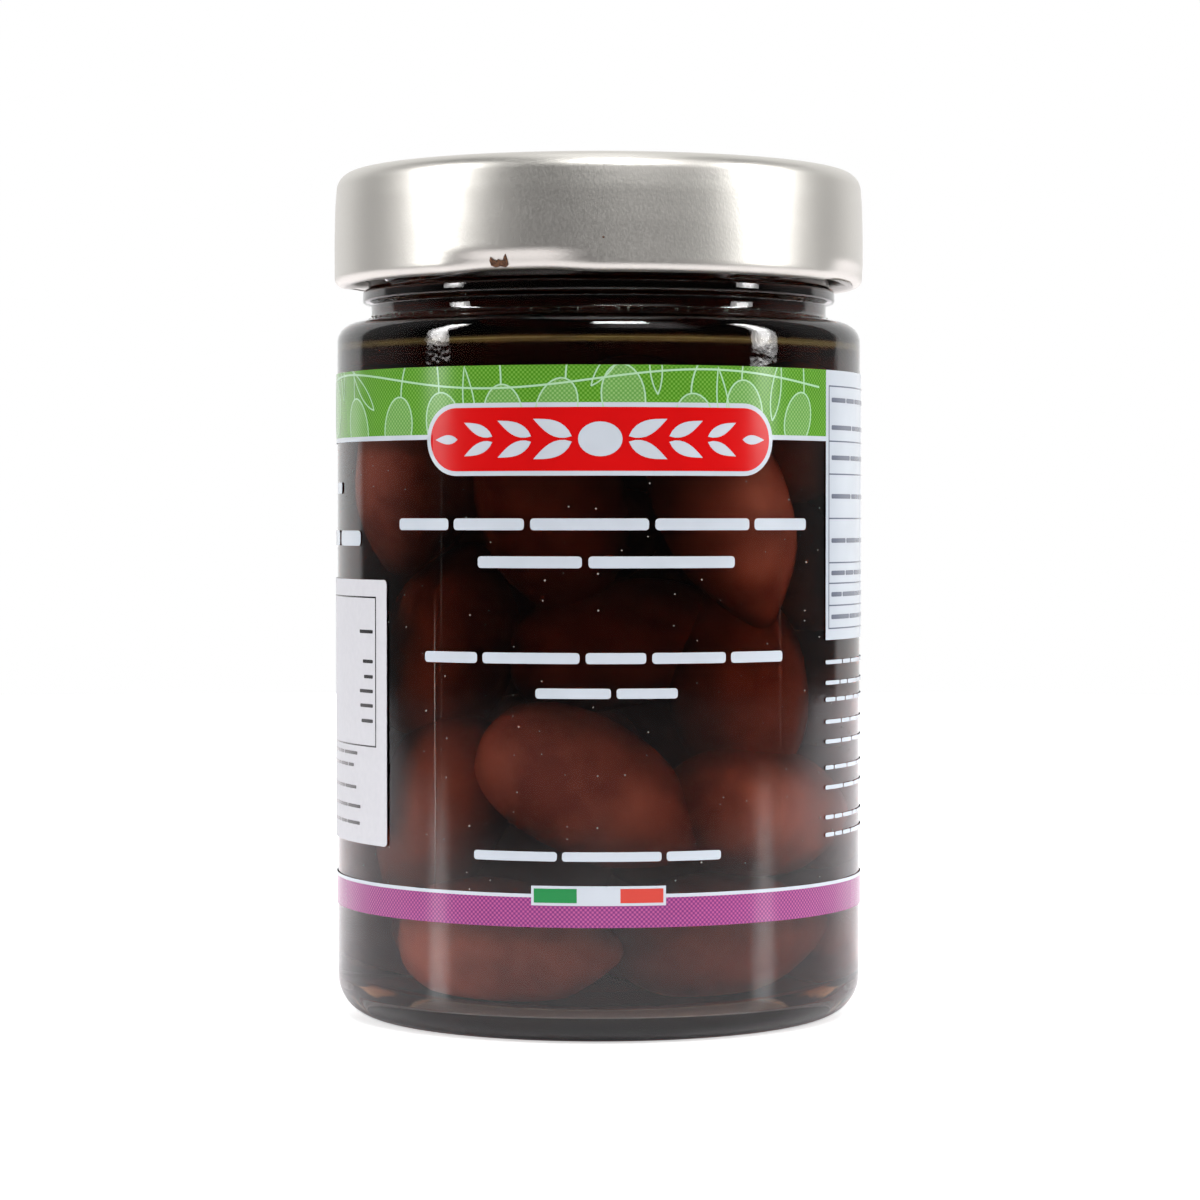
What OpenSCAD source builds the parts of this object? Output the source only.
// Jar of olives: a clear glass jar shut by a twist-off steel lid and filled with olives in
// brine. A printed clear film is wrapped round the glass, with a paper sticker on the film.
// Millimetres, +Z up. The origin is the centre of the base, and the front faces -Y.

/* [Glass jar] */
// Outer diameter of the straight body
body_d = 70.8; // [56:0.1:90]
// Height of the shoulder's top, where the neck starts
body_h = 93.6; // [76:0.1:120]
// Thickness of the body's wall
wall = 2.6; // [1.8:0.1:3.2]
// Thickness of the base at the inside corner of the wall
base_t = 3.4; // [3:0.1:6]
// Radius of the outside corner between base and wall
heel_round = 5.2; // [3:0.1:6.5]
// Radius of the inside corner between floor and wall
floor_round = 2.6; // [2:0.1:6.5]
// How far the middle of the base is pushed up above the ring that it stands on
push_up = 1.8; // [0.8:0.1:2.4]
// How much higher the floor is in the middle than at its corner
floor_dome = 0.9; // [0.2:0.1:1.5]
// Width of the flat ring that the jar stands on
bearing_w = 3.4; // [2:0.1:5]
// Width of the slope between that ring and the middle of the base
push_up_slope = 2.5; // [1.5:0.1:4]
// Width of the level ring round the domed part of the floor
floor_ring_w = 4; // [3:0.1:6]
// Radius of the flat middle of the floor
floor_flat_r = 8; // [4:0.5:12]
// Height of the shoulder's top above its outer edge
shoulder_rise = 0.85; // [0.3:0.05:2]
// Radius of the shoulder's outer edge
shoulder_round = 2.6; // [1.5:0.1:4]
// Thickness of the glass under the shoulder, measured upright
shoulder_t = 3.3; // [2:0.1:4.5]
// Radius inside the shoulder, where the wall turns in
inner_shoulder_round = 2.2; // [1:0.1:3]
// Radius inside, where the shoulder turns up into the neck
inner_neck_round = 1.2; // [0.6:0.1:1.6]

/* [Neck and threads] */
// How far the neck is set in from the body, on one side
neck_inset = 4.6; // [3.6:0.1:7]
// Thickness of the neck's wall
neck_wall = 2.6; // [1.8:0.1:3.4]
// Height from the shoulder's top to the middle of the bead
neck_h = 3.1; // [2:0.1:5]
// How far the bead stands out from the neck
bead_out = 1.15; // [0.6:0.05:1.4]
// Height of the bead
bead_w = 1.9; // [1.2:0.1:2.4]
// Height of the slope above and below the bead
bead_slope = 0.4; // [0.2:0.05:0.6]
// Height from the middle of the bead to the rim
finish_h = 16.05; // [13:0.05:20]
// How far the threaded wall stands out from the neck
finish_out = 0.4; // [0.2:0.05:0.6]
// Radius of the round edges of the rim
rim_round = 1.2; // [0.6:0.1:1.25]
// Radius of a thread's round section
thread_rad = 1; // [0.7:0.05:1.2]
// How far a thread stands out from the threaded wall
thread_out = 1.7; // [1.2:0.05:1.9]
// Angle that one thread runs round the jar
thread_span = 82; // [60:1:84]
// Slope of a thread
thread_tilt = 5.5; // [3:0.1:7]

/* [Lid] */
// Thickness of the lid's steel
steel_t = 0.35; // [0.2:0.05:0.6]
// Radius of the rolled lower edge
curl_rad = 1.3; // [1:0.05:1.6]
// Radius of the lid's top edge
lid_round = 2.5; // [1.5:0.1:3.5]
// Height of the lid's lower edge above the middle of the bead
lid_lift = 1.35; // [1.15:0.05:3]
// Number of lugs, and of threads
lugs = 4; // [3:1:4]
// Angle of the lug nearest the front, to the right of it
lug_turn = -17.5; // [-45:0.5:45]
// Angle that one lug takes up
lug_span = 24; // [16:1:30]
// Thickness of a lug's folded steel
lug_t = 0.8; // [0.5:0.05:1]
// Height of a lug above the lid's lower edge
lug_lift = 0.1; // [0.05:0.05:0.3]
// How far a lug reaches in from the rolled edge
lug_reach = 1.2; // [0.8:0.05:1.4]
// Depth of the lid's middle panel below its top
panel_drop = 1.2; // [0.6:0.1:2]
// Width of the slope round the middle panel
panel_slope = 1.6; // [1:0.1:3]
// Radius of the safety button in the middle panel
button_r = 11; // [8:0.5:14]
// Depth of the safety button, pulled down by the vacuum
button_drop = 0.5; // [0.2:0.1:1]
// Width of the slope round the safety button
button_slope = 1.5; // [1:0.1:2.5]

/* [Contents] */
// Height of the air between the brine and the rim
headspace = 10.7; // [6:0.1:13]

/* [Label and sticker] */
// Height of the label's lower edge
label_low = 15.05; // [10:0.05:20]
// Height from the label's upper edge to where the shoulder starts to round over
label_top_gap = 3.85; // [1:0.05:8]
// Thickness of the label's film
film_t = 0.1; // [0.05:0.01:0.2]
// Length of the glued overlap at the back
overlap_w = 7; // [4:0.5:12]
// Length of the paper sticker round the jar
sticker_w = 50; // [30:0.5:60]
// Height of the paper sticker
sticker_h = 34.7; // [20:0.1:40]
// Height of the sticker's lower edge above the label's
sticker_low = 9.15; // [2:0.05:14]
// Angle of the sticker's right edge, to the right of the front
sticker_turn = -50.6; // [-90:0.1:-30]
// Thickness of the sticker's paper
paper_t = 0.1; // [0.06:0.01:0.2]

/* [Clearances] */
// Sealing compound pressed between the rim and the lid, left open here
seal_gap = 0.3; // [0.1:0.05:0.8]
// Clearance between the threads and the lid's rolled edge
thread_gap = 0.25; // [0.1:0.05:0.5]
// Clearance between a lug and the thread above it
lug_gap = 0.1; // [0.05:0.05:0.4]
// Clearance between the contents and the glass
fill_gap = 0.05; // [0.02:0.01:0.2]
// Clearance under the label, and under the sticker
glue_gap = 0.02; // [0.01:0.01:0.05]

/* [Hidden] */

round_fn = 128;
small_fn = 32;
arc_steps = 8;
front = -90;

// Radii of the small rounded edges of moulded glass and of pressed steel
mould_edge = 0.8;
base_edge = 1.5;
floor_edge = 6;
bead_edge = 0.5;
hollow_edge = 0.3;
press_edge = 0.8;
fold_edge = 0.3;

body_r = body_d / 2;
inner_r = body_r - wall;
bearing_r = body_r - heel_round;
push_up_r = bearing_r - bearing_w;
neck_r = body_r - neck_inset;
mouth_r = neck_r - neck_wall;
finish_r = neck_r + finish_out;
bead_r = neck_r + bead_out;
thread_r = finish_r + thread_out;
thread_path_r = thread_r - thread_rad;
// How much slimmer a thread's round ends are, and how nearly round the lid's curl is
thread_end_step = 0.06;
curl_flat = 0.01;

shoulder_z = body_h - shoulder_rise;
bead_z = body_h + neck_h;
rim_z = bead_z + finish_h;
level_z = rim_z - headspace;

// How far the shoulder falls over the wall's thickness, so that its inside keeps its slope.
shoulder_fall = shoulder_rise / neck_inset;
inner_shoulder_z = shoulder_z - shoulder_t + wall * shoulder_fall;
inner_neck_z = body_h - shoulder_t + neck_wall * shoulder_fall;

curl_in_r = thread_r + thread_gap;
lid_r = curl_in_r + 2 * curl_rad;
lid_top = rim_z + seal_gap + steel_t;
lid_low = bead_z + lid_lift;
panel_r = mouth_r - panel_slope;
panel_z = lid_top - panel_drop;

lug_low = lid_low + lug_lift;
lug_top = lug_low + lug_t;
lug_in_r = curl_in_r - lug_reach;
// The lug's low side slides along the thread's underside, which sets the thread's height.
thread_z = lug_top + lug_gap + thread_rad
    + thread_path_r * sin(thread_tilt) * sin(lug_span / 2);

label_r = body_r + glue_gap;
label_top = shoulder_z - shoulder_round - label_top_gap;
sticker_r = label_r + film_t + glue_gap;
sticker_z = label_low + sticker_low;

function unit(v) = v / norm(v);

// Turn from direction a to direction b, between -180 and 180 degrees.
function turn(a, b) = let (t = b - a) t > 180 ? t - 360 : t < -180 ? t + 360 : t;

// The points that round off corner b, between its neighbours a and c, with radius rad.
function rounded(a, b, c, rad) =
    rad == 0 ? [b] :
    let (
        u = unit(a - b),
        v = unit(c - b),
        half = acos(u * v) / 2,
        centre = b + unit(u + v) * rad / sin(half),
        p = b + u * rad / tan(half) - centre,
        q = b + v * rad / tan(half) - centre,
        from = atan2(p.y, p.x),
        sweep = turn(from, atan2(q.y, q.x))
    )
    [for (i = [0:arc_steps]) let (t = from + sweep * i / arc_steps)
        centre + rad * [cos(t), sin(t)]];

// A closed section whose corners are [distance from the axis, height, radius].
module section(corners) {
    n = len(corners);
    at = [for (c = corners) [c[0], c[1]]];
    polygon([for (i = [0:n - 1])
        each rounded(at[(i + n - 1) % n], at[i], at[(i + 1) % n], corners[i][2])]);
}

// The inside of the glass from the floor up to a height, drawn smaller by a clearance.
function cavity(gap, top) = [
    [mouth_r - gap, top, 0],
    [mouth_r - gap, inner_neck_z - gap, inner_neck_round],
    [inner_r - gap, inner_shoulder_z - gap, inner_shoulder_round],
    [inner_r - gap, base_t + gap, floor_round],
    [inner_r - floor_round - floor_ring_w, base_t + gap, floor_edge],
    [floor_flat_r, base_t + floor_dome + gap, floor_edge],
    [0, base_t + floor_dome + gap, 0]
];

// The outside of the glass, from the middle of the base up to the rim.
glass_outside = [
    [0, push_up, 0],
    [push_up_r - push_up_slope, push_up, base_edge],
    [push_up_r, 0, mould_edge],
    [body_r, 0, heel_round],
    [body_r, shoulder_z, shoulder_round],
    [neck_r, body_h, mould_edge],
    [neck_r, bead_z - (bead_w + bead_slope) / 2, hollow_edge],
    [bead_r, bead_z - (bead_w - bead_slope) / 2, bead_edge],
    [bead_r, bead_z + (bead_w - bead_slope) / 2, bead_edge],
    [finish_r, bead_z + (bead_w + bead_slope) / 2, hollow_edge],
    [finish_r, rim_z, rim_round],
    [mouth_r, rim_z, rim_round]
];

// One thread, centred on +X. Its round ends are a little slimmer than the thread itself, so
// that no two curved faces only just touch.
module thread() {
    rotate([0, 0, -thread_span / 2])
        rotate_extrude(angle = thread_span, $fn = round_fn)
            translate([thread_path_r, 0])
                circle(r = thread_rad, $fn = small_fn);
    for (side = [-1, 1])
        rotate([0, 0, side * thread_span / 2])
            translate([thread_path_r, 0, 0])
                sphere(r = thread_rad - thread_end_step, $fn = small_fn);
}

// Places a copy at every lug, with +X pointing out through the lug's middle.
module at_lugs() {
    for (i = [0:lugs - 1])
        rotate([0, 0, front + lug_turn + i * 360 / lugs])
            children();
}

module jar() {
    inside = cavity(0, rim_z);
    color([0.78, 0.84, 0.80, 0.35]) {
        rotate_extrude($fn = round_fn)
            section(concat(glass_outside, [for (i = [1:len(inside) - 1]) inside[i]]));
        at_lugs()
            translate([0, 0, thread_z])
                rotate([thread_tilt, 0, 0])
                    thread();
    }
}

module lug() {
    root_r = curl_in_r + curl_rad;
    rotate([0, 0, -lug_span / 2])
        rotate_extrude(angle = lug_span, $fn = round_fn)
            section([
                [lug_in_r, lug_low, fold_edge],
                [root_r, lug_low, 0],
                [root_r, lug_top, 0],
                [lug_in_r, lug_top, fold_edge]
            ]);
}

module lid() {
    skirt_r = lid_r - steel_t;
    curl_top = lid_low + 2 * curl_rad;
    button_edge = button_r + button_slope;
    button_z = panel_z - button_drop;
    color([0.72, 0.72, 0.70]) {
        rotate_extrude($fn = round_fn)
            section([
                [0, button_z, 0],
                [button_r, button_z, press_edge],
                [button_edge, panel_z, press_edge],
                [panel_r, panel_z, press_edge],
                [panel_r + panel_slope, lid_top, press_edge],
                [lid_r, lid_top, lid_round],
                [lid_r, lid_low, curl_rad - curl_flat],
                [curl_in_r, lid_low, curl_rad - curl_flat],
                [curl_in_r, curl_top, curl_rad - steel_t],
                [skirt_r, curl_top, fold_edge],
                [skirt_r, lid_top - steel_t, lid_round - steel_t],
                [panel_r + panel_slope, lid_top - steel_t, press_edge],
                [panel_r, panel_z - steel_t, press_edge],
                [button_edge, panel_z - steel_t, press_edge],
                [button_r, button_z - steel_t, press_edge],
                [0, button_z - steel_t, 0]
            ]);
        at_lugs() lug();
    }
}

module contents() {
    color([0.16, 0.05, 0.03])
        rotate_extrude($fn = round_fn)
            section(concat(cavity(fill_gap, level_z), [[0, level_z, 0]]));
}

// A skin round the jar, from angle start to the right of the front, through angle sweep.
module skin(r, thickness, low, high, start, sweep) {
    rotate([0, 0, front + start])
        rotate_extrude(angle = sweep, $fn = round_fn)
            translate([r, low])
                square([thickness, high - low]);
}

// The film goes once round, and its glued end lies on its start, with half its thickness
// drawn into it so that the two are one piece. The end stops a film's thickness short of the
// film's edges, so that no two flat faces lie in one plane.
module label() {
    overlap = overlap_w / label_r * 180 / PI;
    color([0.42, 0.62, 0.28, 0.6]) {
        skin(label_r, film_t, label_low, label_top, 0, 360);
        skin(label_r + film_t / 2, film_t * 1.5, label_low + film_t, label_top - film_t,
            180 - overlap / 2, overlap);
    }
}

module sticker() {
    sweep = sticker_w / sticker_r * 180 / PI;
    color([0.87, 0.88, 0.89])
        skin(sticker_r, paper_t, sticker_z, sticker_z + sticker_h, sticker_turn - sweep, sweep);
}

jar();
lid();
contents();
label();
sticker();
